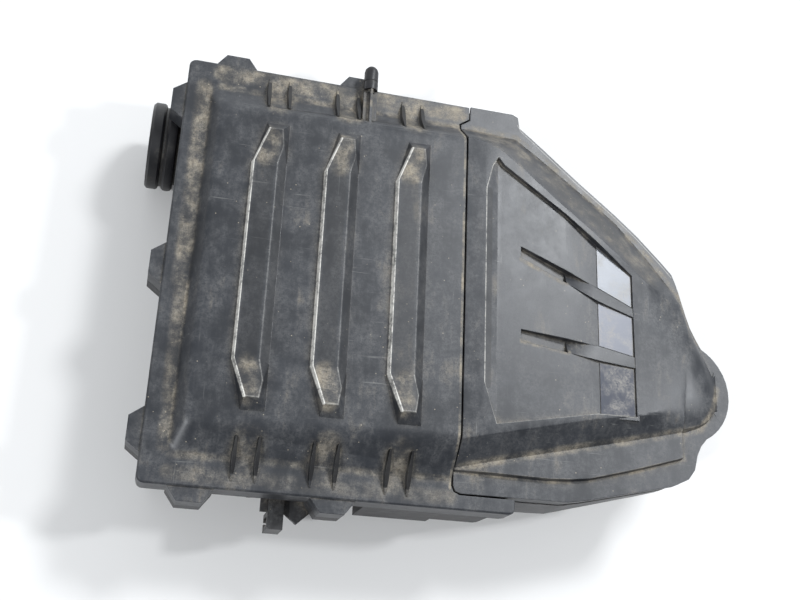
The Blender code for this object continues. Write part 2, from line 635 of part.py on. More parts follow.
def pleat_profile(offset):
    """Zigzag line of the folded sheet, shifted along its height."""
    start = -PLEAT_PITCH * PLEAT_COUNT / 2
    line = []
    for k in range(2 * PLEAT_COUNT + 1):
        z = PLEAT_LOW if k % 2 else PLEAT_HIGH
        line.append((start + k * PLEAT_PITCH / 2, z + offset))
    return line


def media_loop(u):
    lift = PLEAT_SHEET * 5.0
    top = [(u, y, z) for y, z in pleat_profile(0.0)]
    low = [(u, y, z - lift) for y, z in pleat_profile(0.0)]
    return top + low[::-1]


build("filter_media", [([media_loop(15.6), media_loop(222.4)], False)], PAPER)
build("filter_seal", [plate_ring(
    rectangle(4.6, 231.4, -171.4, 171.4, 5), rectangle(15.0, 223.0, -161.0, 161.0, 0.8),
    DECK_Z + 0.3, DECK_Z + 8.3)], FOAM)


# Outlet duct --------------------------------------------------------------------------------------

duct_rim = [p for p in outline if p[0] > 288.0]
duct_edge = inset(duct_rim, 0.8)
tray = fillet([
    (292, -140, 16), (424, -101, 16), (445, -88, 14), (445, -32, 14), (424, 12, 20), (330, 104, 40),
    (292, 134, 16)], 3)
BAND_LOW = [(288.6, 33.0), (333.0, 37.0), (405.0, 58.0), (428.0, 70.0)]
FLANGE_LOW, FLANGE_HIGH = 75.2, 78.2
TRAY_FLOOR, SPIGOT_END = 50.0, 21.0
cu, cy = NOSE_CENTRE
duct = build("nose_duct", [([at(duct_edge, FLANGE_LOW), at(duct_edge, FLANGE_HIGH)], False)], DUCT_PLASTIC)
join(duct, "tray", [([at(inset(tray, 6.0), TRAY_FLOOR), at(tray, FLANGE_HIGH - 0.8)], False)])
join(duct, "spigot", [
    turned((cu, cy, 0), "z", ((SPIGOT_OUTER, SPIGOT_END), (SPIGOT_OUTER, FLANGE_HIGH - 0.6)), 32)])
band = []
for u in (289.4, 311.5, 333.0, 377.0, 405.0, 420.0, 428.0):
    edge, low = rim_y(u, -1) + 1.3, along(BAND_LOW, u)
    high = FLANGE_HIGH - 0.5
    band.append([(u, edge, low), (u, edge + 3.0, low), (u, edge + 3.0, high), (u, edge, high)])
join(duct, "front_band", [(band, False)])
cut(duct, "tray_space", [
    ([at(inset(tray, 8.8), TRAY_FLOOR + 3.0), at(inset(tray, 2.6), FLANGE_HIGH + 2.0)], False)])
cut(duct, "spigot_bore", [
    turned((cu, cy, 0), "z", ((SPIGOT_INNER, 10.0), (SPIGOT_INNER, FLANGE_HIGH + 4)), 32)])
cut(duct, "duct_holes", [turned((u, y, 0), "z", ((2.4, 70.0), (2.4, 84.0)), 12) for u, y in DUCT_SCREWS])
build("duct_gasket", [plate_ring(duct_edge, inset(duct_rim, 3.6), FLANGE_HIGH + 0.3, DECK_Z + 0.1)], RUBBER)


# Rubber cuffs, mounts, valve and clip ---------------------------------------------------------------

CUFF_PROFILE = (
    (31.4, 0.0), (34.0, 0.0), (36.0, 1.2), (36.8, 3.5), (36.8, 7.5), (35.6, 8.6), (35.2, 9.2), (33.6, 9.8),
    (33.6, 11.6), (35.4, 12.2), (36.6, 13.8), (36.6, 20.8), (34.6, 23.0), (30.6, 23.0), (28.4, 22.2),
    (28.4, 20.4), (31.4, 20.2),
)


def cuff(name, centre, axis, along_end):
    """Double-ring cuff; distance 0 is the end nearest the housing."""
    profile = [(r, along_end(d)) for r, d in CUFF_PROFILE]
    return build(name, [turned(centre, axis, profile, 40, ring=True)], RUBBER, smooth=True)


cuff("inlet_cuff", (-1.4, INLET_Y, INLET_Z), "x", lambda d: -d)
cuff("outlet_cuff", (cu, cy, 41.0), "z", lambda d: -d)

GROMMET_PROFILE = (
    (4.4, 21.0), (9.6, 21.0), (10.2, 21.8), (10.2, 23.7), (6.9, 23.7), (6.9, 32.3), (10.2, 32.3),
    (10.2, 34.2), (9.6, 35.0), (4.4, 35.0),
)
SLEEVE_PROFILE = ((3.1, 20.0), (4.1, 20.0), (4.1, 36.0), (3.1, 36.0))
for number, u in enumerate(MOUNT_U, 1):
    spot = (u, 186.5, 0)
    build(f"mount_grommet_{number}", [turned(spot, "z", GROMMET_PROFILE, 24, ring=True)], RUBBER, smooth=True)
    build(f"grommet_sleeve_{number}", [turned(spot, "z", SLEEVE_PROFILE, 24, ring=True)], STEEL, smooth=True)

DRAIN_PROFILE = (
    (9.0, 38.3), (9.4, 39.0), (9.0, 40.4), (4.6, 40.4), (4.2, 30.0), (2.0, 17.0), (2.6, 15.6), (5.6, 29.0),
    (5.9, 33.0), (9.0, 33.2), (9.0, 34.7), (6.0, 34.7), (6.0, 38.3),
)
build("drain_valve", [turned((264.0, 60.0, 0), "z", DRAIN_PROFILE, 20, ring=True)], RUBBER, smooth=True)

clip = build("harness_clip", [box(99.0, 111.0, -197.0, -183.4, 48.0, 72.0)], CLIP_PLASTIC)
join(clip, "clip_saddle", [box(99.0, 111.0, -184.4, -174.4, 65.4, 72.0)])
cut(clip, "clip_channel", [box(96.0, 114.0, -193.4, -187.0, 52.0, 68.0)])
cut(clip, "clip_slit", [box(96.0, 114.0, -191.0, -189.4, 46.0, 54.0)])


# Screws -------------------------------------------------------------------------------------------

def socket_loop(centre, radius, z, segments=12):
    """Hexagon drawn with two points per side, so that it skins to a round loop."""
    u, y = centre
    loop = []
    for k in range(segments):
        angle = 2 * math.pi * k / segments
        reach = radius if k % 2 == 0 else radius * math.cos(math.pi / 6)
        loop.append((u + reach * math.cos(angle), y + reach * math.sin(angle), z))
    return loop


def screw(name, centre, shank, tip_z, seat_z, head, head_height, socket):
    u, y = centre
    rounds = turned((u, y, 0), "z", (
        (shank * 0.5, tip_z), (shank, tip_z - 1.8), (shank, seat_z), (head, seat_z),
        (head, seat_z - head_height * 0.55),
        (head * 0.86, seat_z - head_height), (socket + 0.5, seat_z - head_height)), 12)[0]
    loops = rounds + [
        socket_loop(centre, socket, seat_z - head_height + 0.2),
        socket_loop(centre, socket * 0.95, seat_z - 1.0)]
    return build(name, [(loops, False)], STEEL, smooth=True)


for number, place in enumerate(screw_places(), 1):
    screw(f"cover_screw_{number}", place, 1.95, 92.0, 66.7, 5.4, 4.2, 2.3)
for number, place in enumerate(DUCT_SCREWS, 1):
    screw(f"duct_screw_{number}", place, 1.8, 91.0, 74.9, 4.6, 3.2, 1.9)
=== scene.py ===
"""Looks of the air filter housing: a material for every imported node, the floor, light and camera.

Lengths in the materials are in millimetres of the shared frame, so that grain, dust and scratches
keep their real size. Floor, lights and camera are in metres.
"""
import math

import bpy
from mathutils import Matrix, Vector

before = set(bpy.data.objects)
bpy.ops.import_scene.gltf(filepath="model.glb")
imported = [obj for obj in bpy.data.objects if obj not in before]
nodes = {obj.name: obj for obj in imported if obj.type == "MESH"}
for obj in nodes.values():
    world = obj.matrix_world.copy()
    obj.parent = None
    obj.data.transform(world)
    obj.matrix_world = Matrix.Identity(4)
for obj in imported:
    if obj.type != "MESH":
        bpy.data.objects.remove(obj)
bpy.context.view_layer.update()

MM = 0.001

CAMERA_PLACE = (-0.22547, -0.31794, 0.86611)
CAMERA_RIGHT = (0.96678256, 0.04051827, 0.25236828)
CAMERA_UP = (-0.12775939, 0.93176945, 0.33982825)
CAMERA_BACK = (-0.2213798, -0.36078244, 0.90599504)
LENS, SENSOR = 47.565, 36.0
CLIP_START, CLIP_END = 0.05, 30.0

FLOOR_SIZE, FLOOR_STEPS = 40.0, 8
FLOOR_GLOW = 0.06
LIGHT_COLOUR = (0.95, 0.975, 1.0)
LIGHT_TARGET = (0.0, 0.0, 0.05)
LIGHTS = {  # place, size and power
    "high_light": ((1.15, 1.35, 2.4), (0.6, 0.5), 50.0),
    "right_light": ((2.3, 0.3, 2.5), (0.25, 0.25), 38.0),
    "left_light": ((-1.9, -1.3, 2.5), (0.25, 0.25), 46.0),
}
ROOM_COLOUR = (0.93, 0.965, 1.0, 1.0)
ROOM_LEVEL, OVERHEAD_LEVEL, BACKDROP_LEVEL = 0.3, 0.25, 0.95

MERGE_DISTANCE = 0.00002
SMOOTH_BELOW = math.radians(22.0)


# Node graph helper ------------------------------------------------------------------------------

class Graph:
    """Short spelling for nodes; every method from math on returns an output socket."""

    def __init__(self, tree):
        self.tree = tree

    def node(self, kind, **settings):
        made = self.tree.nodes.new(kind)
        for key, value in settings.items():
            setattr(made, key, value)
        return made

    def feed(self, socket, value):
        """Links a socket to the input, or sets the input's own value."""
        if isinstance(value, bpy.types.NodeSocket):
            self.tree.links.new(value, socket)
        elif value is not None:
            socket.default_value = value

    def math(self, operation, a, b=None, clamp=False):
        made = self.node("ShaderNodeMath", operation=operation, use_clamp=clamp)
        self.feed(made.inputs[0], a)
        self.feed(made.inputs[1], b)
        return made.outputs[0]

    def add(self, a, b):
        return self.math("ADD", a, b)

    def sub(self, a, b):
        return self.math("SUBTRACT", a, b)

    def mul(self, a, b):
        return self.math("MULTIPLY", a, b)

    def most(self, a, b):
        return self.math("MAXIMUM", a, b)

    def weigh(self, *terms):
        """Sum of the values, each times its weight."""
        total = None
        for value, weight in terms:
            part = self.mul(value, weight)
            total = part if total is None else self.add(total, part)
        return total

    def ramp(self, value, low, high, out_low=0.0, out_high=1.0):
        """Smooth step from out_low at low to out_high at high; low may be the larger one."""
        made = self.node("ShaderNodeMapRange", clamp=True, interpolation_type="SMOOTHSTEP")
        keys = ("Value", "From Min", "From Max", "To Min", "To Max")
        for key, item in zip(keys, (value, low, high, out_low, out_high)):
            self.feed(made.inputs[key], item)
        return made.outputs["Result"]

    def mix(self, factor, a, b):
        """Colour a where factor is 0, colour b where it is 1."""
        made = self.node("ShaderNodeMix", data_type="RGBA")
        factor_input, a_input, b_input = made.inputs[0], made.inputs[6], made.inputs[7]
        self.feed(factor_input, factor)
        for socket, value in ((a_input, a), (b_input, b)):
            self.feed(socket, (*value, 1.0) if isinstance(value, tuple) else value)
        return made.outputs[2]

    def split(self, vector):
        made = self.node("ShaderNodeSeparateXYZ")
        self.feed(made.inputs[0], vector)
        return made.outputs

    def place(self):
        """Object coordinates in millimetres, and their three parts."""
        scaled = self.node("ShaderNodeVectorMath", operation="SCALE")
        self.feed(scaled.inputs[0], self.node("ShaderNodeTexCoord").outputs["Object"])
        scaled.inputs["Scale"].default_value = 1.0 / MM
        return scaled.outputs[0], self.split(scaled.outputs[0])

    def stretch(self, vector, scale, turn=0.0):
        """The vector scaled along its axes, then turned about Z."""
        made = self.node("ShaderNodeMapping")
        self.feed(made.inputs["Vector"], vector)
        made.inputs["Scale"].default_value = scale
        made.inputs["Rotation"].default_value = (0.0, 0.0, turn)
        return made.outputs[0]

    def noise(self, vector, size, detail=3.0, roughness=0.55, distortion=0.0):
        """Noise from 0 to 1 whose features are about size millimetres across."""
        made = self.node("ShaderNodeTexNoise")
        self.feed(made.inputs["Vector"], vector)
        made.inputs["Scale"].default_value = 1.0 / size
        made.inputs["Detail"].default_value = detail
        made.inputs["Roughness"].default_value = roughness
        made.inputs["Distortion"].default_value = distortion
        return made.outputs[0]

    def cells(self, vector, size):
        """Distance to the nearest of scattered points about size millimetres apart."""
        made = self.node("ShaderNodeTexVoronoi", feature="F1")
        self.feed(made.inputs["Vector"], vector)
        made.inputs["Scale"].default_value = 1.0 / size
        return made.outputs["Distance"]

    def openness(self, distance, samples=8):
        """1 on open surfaces, towards 0 in inside corners."""
        made = self.node("ShaderNodeAmbientOcclusion", samples=samples)
        made.inputs["Distance"].default_value = distance * MM
        return made.outputs["AO"]

    def facing_up(self):
        return self.split(self.node("ShaderNodeNewGeometry").outputs["Normal"])[2]

    def bump(self, height, distance, strength, normal=None):
        made = self.node("ShaderNodeBump")
        made.inputs["Strength"].default_value = strength
        made.inputs["Distance"].default_value = distance * MM
        self.feed(made.inputs["Height"], height)
        self.feed(made.inputs["Normal"], normal)
        return made.outputs[0]

    def soft_edges(self, radius):
        """Normals as if every edge were rounded to the radius."""
        made = self.node("ShaderNodeBevel", samples=4)
        made.inputs["Radius"].default_value = radius * MM
        return made.outputs[0]

    def near_line(self, parts, line):
        """The line's amount within its width of the segment in plan, falling to 0 over its fade."""
        (ax, ay), (bx, by), width, fade, amount = line
        dx, dy = bx - ax, by - ay
        px, py = self.sub(parts[0], ax), self.sub(parts[1], ay)
        along = self.add(self.mul(px, dx), self.mul(py, dy))
        share = self.math("DIVIDE", along, dx * dx + dy * dy, clamp=True)
        ox, oy = self.sub(px, self.mul(share, dx)), self.sub(py, self.mul(share, dy))
        distance = self.math("SQRT", self.add(self.mul(ox, ox), self.mul(oy, oy)))
        return self.ramp(distance, width + fade, width, 0.0, amount)


def new_material(name):
    made = bpy.data.materials.new(name)
    made.use_nodes = True
    return made, Graph(made.node_tree), made.node_tree.nodes["Principled BSDF"]


# Materials --------------------------------------------------------------------------------------

DUST = (0.33, 0.27, 0.185)
PALE_DUST = (0.47, 0.41, 0.31)
# Grey of the film; on the side walls it is also painted reflected light
GREY_FILM_AND_REFLECTION = (0.118, 0.119, 0.122)
# Pale colour of wear, also used as a painted highlight on the ribs' left edges
PALE_WEAR_AND_HIGHLIGHT = (0.74, 0.72, 0.67)
SCRATCH = (0.19, 0.19, 0.185)
# Black of the lines of painted shade
PAINTED_SHADE_BLACK = (0.006, 0.006, 0.007)
RUBBER, RUBBER_BLOOM = (0.008, 0.008, 0.010), (0.16, 0.145, 0.12)
STEEL, RUST = (0.45, 0.43, 0.38), (0.20, 0.12, 0.065)
PLATE_HAZE = (0.42, 0.39, 0.34)
PAPER, PALE_PAPER = (0.66, 0.59, 0.42), (0.76, 0.70, 0.54)
# The fold colour is painted shade; the dirt colour is real dirt
PAPER_FOLD_SHADE, PAPER_DIRT = (0.24, 0.20, 0.13), (0.20, 0.16, 0.11)
FOAM, PALE_FOAM = (0.028, 0.028, 0.03), (0.07, 0.066, 0.058)
FLOOR, PALE_FLOOR = (0.69, 0.685, 0.68), (0.72, 0.715, 0.71)
SHADE_RANGE = (0.8, 1.2)  # the plastic's colour varies between these times its own


def plastic(name, colour, roughness, dust=1.0, edge=0.7, dusty=(), wear_and_highlight=(), dark=()):
    """Moulded black plastic: fine grain, a thin grey film, tan dust in inside corners and along
    the dusty lines, specks, hairline scratches, pale lines of wear that are partly painted highlight,
    black lines of painted shade, and a grey film on the side walls that is partly painted reflection."""
    made, g, shader = new_material(name)
    vector, parts = g.place()
    facing = g.facing_up()
    up, side = g.ramp(facing, 0.1, 0.9, 0.3, 1.0), g.ramp(facing, 0.7, 0.2)
    broad = g.noise(vector, size=60.0, detail=4.0, roughness=0.6, distortion=0.4)
    middle = g.noise(vector, size=14.0, detail=5.0, roughness=0.62)
    fine = g.noise(vector, size=2.6, detail=4.0, roughness=0.72)
    powder = g.noise(vector, size=1.0, detail=3.0, roughness=0.7)
    wiped = g.stretch(vector, (0.9, 0.22, 0.5), turn=0.3)
    wipe = g.noise(wiped, size=9.0, detail=4.0, roughness=0.65, distortion=0.3)

    # Tan dust, broken into patches and grains
    grains = g.ramp(g.weigh((middle, 0.5), (fine, 0.2), (powder, 0.3)), 0.38, 0.64)
    patches = g.ramp(g.weigh((broad, 0.5), (middle, 0.5)), 0.38, 0.6, 0.25, 1.0)
    broken = g.mul(patches, g.add(g.mul(grains, 0.9), 0.1))
    corner = g.ramp(g.openness(8.0, samples=4), 0.9, 0.4)
    dust_mask = g.mul(g.mul(corner, grains), 0.5)
    for line in dusty:
        dust_mask = g.most(dust_mask, g.mul(g.near_line(parts, line), broken))
    dust_mask = g.math("MULTIPLY", g.mul(dust_mask, up), dust, clamp=True)

    # Grey film on top, smudges, and a mottled grey film on the side walls that is also painted reflection
    # of the pale floor
    film = g.mul(
        g.ramp(g.weigh((broad, 0.35), (middle, 0.35), (wipe, 0.3)), 0.4, 0.6),
        g.ramp(g.weigh((fine, 0.6), (powder, 0.4)), 0.36, 0.62, 0.1, 1.0))
    smudge = g.mul(g.ramp(g.weigh((broad, 0.55), (wipe, 0.45)), 0.53, 0.66), grains)
    mottle = g.noise(g.stretch(vector, (0.05, 0.05, 0.11)), size=1.0, detail=3.0, roughness=0.6)
    wall_film_and_reflection = g.mul(g.mul(side, g.ramp(mottle, 0.5, 0.62)), g.ramp(middle, 0.35, 0.65, 0.08, 0.42))

    # Scratches in two directions, and pale specks
    one_way = g.stretch(vector, (0.012, 0.55, 0.3), turn=0.55)
    other_way = g.stretch(vector, (0.6, 0.014, 0.3), turn=-0.35)
    hairs = g.most(
        g.ramp(g.noise(one_way, size=1.0, detail=2.0, roughness=0.5), 0.69, 0.73),
        g.ramp(g.noise(other_way, size=1.0, detail=2.0, roughness=0.5), 0.705, 0.745))
    scratches = g.mul(hairs, g.ramp(g.noise(vector, size=45.0, detail=2.0), 0.44, 0.6, 0.0, 0.4))
    specks = g.mul(
        g.ramp(g.cells(vector, 6.0), 0.1, 0.05), g.ramp(g.noise(vector, size=22.0, detail=2.0), 0.48, 0.6))

    low_shade, high_shade = (tuple(c * share for c in colour) for share in SHADE_RANGE)
    tone = g.mix(g.ramp(broad, 0.3, 0.7), low_shade, high_shade)
    tone = g.mix(g.mul(film, g.mul(up, 0.6)), tone, GREY_FILM_AND_REFLECTION)
    tone = g.mix(g.mul(smudge, g.mul(up, 0.26)), tone, DUST)
    tone = g.mix(wall_film_and_reflection, tone, GREY_FILM_AND_REFLECTION)
    tone = g.mix(g.mul(scratches, up), tone, SCRATCH)
    tone = g.mix(g.mul(specks, g.mul(up, 0.55)), tone, PALE_DUST)
    base = g.mix(dust_mask, tone, g.mix(g.ramp(fine, 0.3, 0.7), DUST, PALE_DUST))
    wear_and_highlight_breakup = g.ramp(g.weigh((middle, 0.5), (fine, 0.5)), 0.35, 0.58, 0.15, 1.0)
    # Pale lines of wear; along the ribs' left edges they are also a painted highlight
    for line in wear_and_highlight:
        base = g.mix(g.mul(g.near_line(parts, line), wear_and_highlight_breakup), base, PALE_WEAR_AND_HIGHLIGHT)
    # Black lines of painted shade: rib crests and slopes, gusset fins, the panel's left wall
    for line in dark:
        base = g.mix(g.near_line(parts, line), base, PAINTED_SHADE_BLACK)

    g.feed(shader.inputs["Base Color"], base)
    gloss = g.add(g.weigh((g.sub(middle, 0.5), 0.1), (film, 0.1)), roughness)
    g.feed(shader.inputs["Roughness"], g.math("ADD", gloss, g.mul(dust_mask, 0.35), clamp=True))
    grain = g.noise(vector, size=0.6, detail=2.0, roughness=0.6)
    relief = g.weigh((grain, 1.0), (dust_mask, 0.9), (fine, 0.4))
    g.feed(shader.inputs["Normal"], g.bump(relief, 0.06, 0.5, g.soft_edges(edge)))
    return made


def rubber(name):
    """Black rubber with a pale bloom in its folds."""
    made, g, shader = new_material(name)
    vector, _ = g.place()
    middle = g.noise(vector, size=12.0, detail=4.0, roughness=0.6)
    fine = g.noise(vector, size=1.6, detail=3.0, roughness=0.7)
    corner = g.ramp(g.openness(4.0), 0.85, 0.35)
    blotches = g.weigh((corner, 0.6), (g.ramp(middle, 0.5, 0.72), 0.3))
    bloom = g.mul(blotches, g.ramp(fine, 0.35, 0.7))
    g.feed(shader.inputs["Base Color"], g.mix(bloom, RUBBER, RUBBER_BLOOM))
    roughness = g.add(g.weigh((bloom, 0.4), (g.sub(middle, 0.5), 0.2)), 0.42)
    g.feed(shader.inputs["Roughness"], roughness)
    g.feed(shader.inputs["Normal"], g.bump(g.add(fine, middle), 0.06, 0.5, g.soft_edges(0.4)))
    return made


def steel(name):
    """Zinc-plated steel with rust in its corners."""
    made, g, shader = new_material(name)
    vector, _ = g.place()
    middle = g.noise(vector, size=4.0, detail=4.0, roughness=0.65)
    fine = g.noise(vector, size=0.6, detail=3.0, roughness=0.6)
    corner = g.ramp(g.openness(2.5), 0.9, 0.4)
    spots = g.weigh((g.ramp(middle, 0.52, 0.7), 1.0), (corner, 0.5))
    rust = g.math("MULTIPLY", spots, 0.7, clamp=True)
    g.feed(shader.inputs["Base Color"], g.mix(rust, STEEL, RUST))
    g.feed(shader.inputs["Metallic"], g.sub(1.0, g.mul(rust, 0.8)))
    g.feed(shader.inputs["Roughness"], g.add(g.weigh((rust, 0.35), (fine, 0.15)), 0.3))
    g.feed(shader.inputs["Normal"], g.bump(g.add(fine, middle), 0.05, 0.6, g.soft_edges(0.25)))
    return made


def accent(name, colour):
    """Glossy plate: brushed fine lines and a dusty haze."""
    made, g, shader = new_material(name)
    vector, _ = g.place()
    brushed = g.noise(g.stretch(vector, (0.05, 2.2, 1.0)), size=1.0, detail=3.0, roughness=0.6)
    broad = g.noise(vector, size=14.0, detail=3.0, roughness=0.6)
    fine = g.noise(vector, size=1.8, detail=4.0, roughness=0.7)
    corner = g.ramp(g.openness(3.0), 0.92, 0.5)
    spots = g.mul(g.ramp(broad, 0.42, 0.7), g.mul(g.ramp(fine, 0.3, 0.7), 0.45))
    haze = g.math("ADD", g.mul(corner, 0.5), spots, clamp=True)
    g.feed(shader.inputs["Base Color"], g.mix(haze, colour, PLATE_HAZE))
    g.feed(shader.inputs["Metallic"], g.sub(0.25, g.mul(haze, 0.25)))
    g.feed(shader.inputs["Roughness"], g.add(g.weigh((haze, 0.4), (brushed, 0.12)), 0.3))
    g.feed(shader.inputs["Normal"], g.bump(brushed, 0.02, 0.4, g.soft_edges(0.25)))
    return made


def paper(name):
    """Filter paper, dirty on its lower side, with painted shade deep in the folds."""
    made, g, shader = new_material(name)
    vector, parts = g.place()
    fibre = g.noise(g.stretch(vector, (0.5, 1.2, 1.2)), size=0.8, detail=4.0, roughness=0.7)
    broad = g.noise(vector, size=40.0, detail=4.0, roughness=0.6)
    dirt = g.mul(g.ramp(parts[2], 80.0, 55.0), g.ramp(broad, 0.3, 0.7, 0.35, 0.85))
    # Painted shade: darker deep in the folds, found by ambient occlusion
    folds = g.ramp(g.openness(14.0, samples=4), 0.75, 0.15, 0.0, 0.75)
    clean = g.mix(folds, g.mix(g.ramp(fibre, 0.3, 0.7), PAPER, PALE_PAPER), PAPER_FOLD_SHADE)
    g.feed(shader.inputs["Base Color"], g.mix(dirt, clean, PAPER_DIRT))
    shader.inputs["Roughness"].default_value = 0.92
    g.feed(shader.inputs["Normal"], g.bump(fibre, 0.08, 0.7))
    return made


def foam(name):
    """Moulded black foam with open pores."""
    made, g, shader = new_material(name)
    vector, _ = g.place()
    pores = g.cells(vector, 0.9)
    broad = g.noise(vector, size=18.0, detail=3.0, roughness=0.6)
    g.feed(shader.inputs["Base Color"], g.mix(g.ramp(broad, 0.35, 0.7), FOAM, PALE_FOAM))
    shader.inputs["Roughness"].default_value = 0.8
    g.feed(shader.inputs["Normal"], g.bump(pores, 0.12, 0.7, g.soft_edges(0.6)))
    return made


# Lines of dust, wear, painted highlight and painted shade -----------------------------------------
# Every row is a run of points (u, y) in plan, its width and fade in millimetres, and its amount.
# u counts from the cover's left edge.

LEFT_EDGE = -225.0

COVER_DUST = [
    ([(14.5, 152.0), (14.5, -20.0)], 3.0, 6.0, 0.66),  # flange on the left
    ([(19.5, 150.0), (19.5, -148.0)], 0.5, 2.2, 0.6),  # foot of the dome on the left
    ([(15.0, -20.0), (17.0, -148.0)], 1.5, 6.0, 0.45),
    ([(28.0, 154.0), (232.0, 154.0)], 0.8, 5.0, 0.52),  # foot of the dome at the back
    ([(22.0, -154.0), (232.0, -154.0)], 0.5, 4.0, 0.36),  # and at the front
    ([(232.0, 156.0), (232.0, -160.0)], 0.5, 0.9, 0.6),  # seam to the hood
    ([(28.0, 166.5), (232.0, 166.5)], 5.0, 5.0, 0.6),  # flange at the back
    ([(22.0, -167.0), (232.0, -167.0)], 3.0, 5.0, 0.22),  # and at the front
]

# The rib rows count u from the right foot of each rib.
RIBS = (85.5, 143.8, 202.5)
# Pale lines along the rib edges: wear, and along the left edge also a painted highlight where the edge
# catches the light
RIB_WEAR_AND_HIGHLIGHT = [
    ([(-16.9, 111.0), (-27.2, 82.0), (-27.2, -82.0), (-16.9, -111.0)], 0.55, 0.7, 1.0),
    ([(-16.9, 111.0), (-6.5, 111.0), (-4.5, 98.0), (-8.0, 82.0)], 0.2, 0.7, 0.12),
    ([(-8.0, 82.0), (-8.0, -82.0)], 0.2, 0.8, 0.08),
    ([(-8.0, -82.0), (-4.5, -98.0), (-6.5, -111.0), (-16.9, -111.0)], 0.2, 0.7, 0.25),
]
# Painted shade: black lines darken the rib crests and the right slopes
RIB_PAINTED_SHADE = [
    ([(-17.6, 76.0), (-17.6, -76.0)], 6.0, 3.5, 0.45),  # crest
    ([(-3.6, 100.0), (-3.6, -100.0)], 2.6, 1.5, 0.45),  # right slope
]
RIB_DUST = [
    ([(-14.0, side * 108.0), (-17.0, side * 86.0)], 4.0, 7.0, 0.62) for side in (1, -1)
]

# Pairs of gussets stand on both long sides; dust lies between the two of a pair, and each gusset gets a
# black line of painted shade.
GUSSET_PAIRS = ((67.0, 84.0), (124.5, 142.5), (181.5, 198.5))
GUSSET_DUST = ((1, 0.62), (-1, 0.42))  # side and amount

HOOD_DUST = [
    ([(243.0, 153.5), (285.0, 151.0), (307.0, 136.0), (374.0, 87.5), (405.7, 54.5), (431.0, 24.0),
      (436.0, 8.0), (446.0, -16.0)], 2.5, 4.0, 0.6),  # foot of the back slope
    ([(257.0, 141.0), (285.0, 131.0), (311.0, 111.0), (345.0, 85.0), (402.0, 38.0)], 7.0, 9.0, 0.3),
    ([(283.0, 28.5), (322.0, 12.0)], 1.2, 2.5, 0.6),  # the two slots
    ([(283.0, -41.5), (322.0, -46.5)], 1.2, 2.5, 0.6),
    ([(236.0, -144.5), (318.0, -124.5), (384.0, -109.0), (431.0, -97.0)], 1.0, 4.0, 0.55),
    ([(236.0, -147.4), (311.0, -148.0), (340.0, -146.0), (383.0, -134.4), (427.0, -120.6)],
     0.4, 2.2, 0.6),  # step of the platform
    ([(429.5, -119.0), (429.5, -98.0), (446.8, -92.6), (459.1, -74.2), (464.2, -56.3)], 1.0, 4.0, 0.6),
]
HOOD_WORN = [
    ([(251.0, -80.0), (251.0, 88.0), (256.5, 110.0), (261.0, 117.5)], 0.1, 0.6, 0.6),
    ([(251.0, -80.0), (261.0, -112.0), (345.0, -95.4), (381.0, -93.4)], 0.1, 0.6, 0.5),
    ([(286.5, 166.0), (290.0, 160.0), (340.0, 118.5), (373.4, 92.7), (395.5, 74.0), (417.4, 52.5),
      (428.1, 40.8)], 0.1, 0.6, 0.3),
]
# Painted shade: a black line along the panel's left wall
HOOD_PAINTED_SHADE = [([(254.0, -82.0), (254.0, 86.0)], 2.0, 1.2, 0.6)]  # left wall of the panel


def segments(rows, shift=0.0):
    """One line (start, end, width, fade, amount) for each segment of the rows, in the shared frame."""
    made = []
    for points, width, fade, amount in rows:
        plan = [(u + shift + LEFT_EDGE, y) for u, y in points]
        made += [(start, end, width, fade, amount) for start, end in zip(plan, plan[1:])]
    return made


def cover_lines():
    """Dust lines, lines of wear and painted highlight, and lines of painted shade of the cover, with those
    of its ribs and gussets.
    """
    dusty, wear_and_highlight, dark = segments(COVER_DUST), [], []
    for right in RIBS:
        dusty += segments(RIB_DUST, right)
        wear_and_highlight += segments(RIB_WEAR_AND_HIGHLIGHT, right)
        dark += segments(RIB_PAINTED_SHADE, right)
    for pair in GUSSET_PAIRS:
        between = sum(pair) / 2
        for side, amount in GUSSET_DUST:
            dusty += segments([([(between, side * 142.0), (between, side * 158.0)], 7.0, 9.0, amount)])
            for u in pair:
                # Painted shade: a black line along each gusset fin
                dark += segments([([(u, side * 139.0), (u, side * 163.0)], 1.2, 0.8, 0.95)])
    return dusty, wear_and_highlight, dark


# Every node gets its look -----------------------------------------------------------------------

def smooth_group():
    """Joins the facets' shared corners and shades smooth, except over edges sharper than the limit."""
    tree = bpy.data.node_groups.new("smooth_facets", "GeometryNodeTree")
    for direction in ("INPUT", "OUTPUT"):
        tree.interface.new_socket("Geometry", in_out=direction, socket_type="NodeSocketGeometry")
    g = Graph(tree)
    merge = g.node("GeometryNodeMergeByDistance")
    merge.inputs["Distance"].default_value = MERGE_DISTANCE
    g.feed(merge.inputs["Geometry"], g.node("NodeGroupInput").outputs[0])
    plain = g.node("GeometryNodeRemoveAttribute")
    plain.inputs["Name"].default_value = "custom_normal"
    g.feed(plain.inputs["Geometry"], merge.outputs[0])
    faces = g.node("GeometryNodeSetShadeSmooth", domain="FACE")
    g.feed(faces.inputs["Geometry"], plain.outputs[0])
    edges = g.node("GeometryNodeSetShadeSmooth", domain="EDGE")
    g.feed(edges.inputs["Geometry"], faces.outputs[0])
    shallow = g.node("FunctionNodeCompare", data_type="FLOAT", operation="LESS_THAN")
    g.feed(shallow.inputs[0], g.node("GeometryNodeInputMeshEdgeAngle").outputs["Unsigned Angle"])
    shallow.inputs[1].default_value = SMOOTH_BELOW
    g.feed(edges.inputs["Shade Smooth"], shallow.outputs[0])
    g.feed(g.node("NodeGroupOutput").inputs[0], edges.outputs[0])
    return tree


def soften(piece, group):
    """Smooth shading over small facet angles; large flat faces keep their own normals."""
    facets = piece.modifiers.new("smooth_facets", "NODES")
    facets.node_group = group
    weights = piece.modifiers.new("flat_faces_lead", "WEIGHTED_NORMAL")
    weights.mode = "FACE_AREA"
    weights.keep_sharp = True


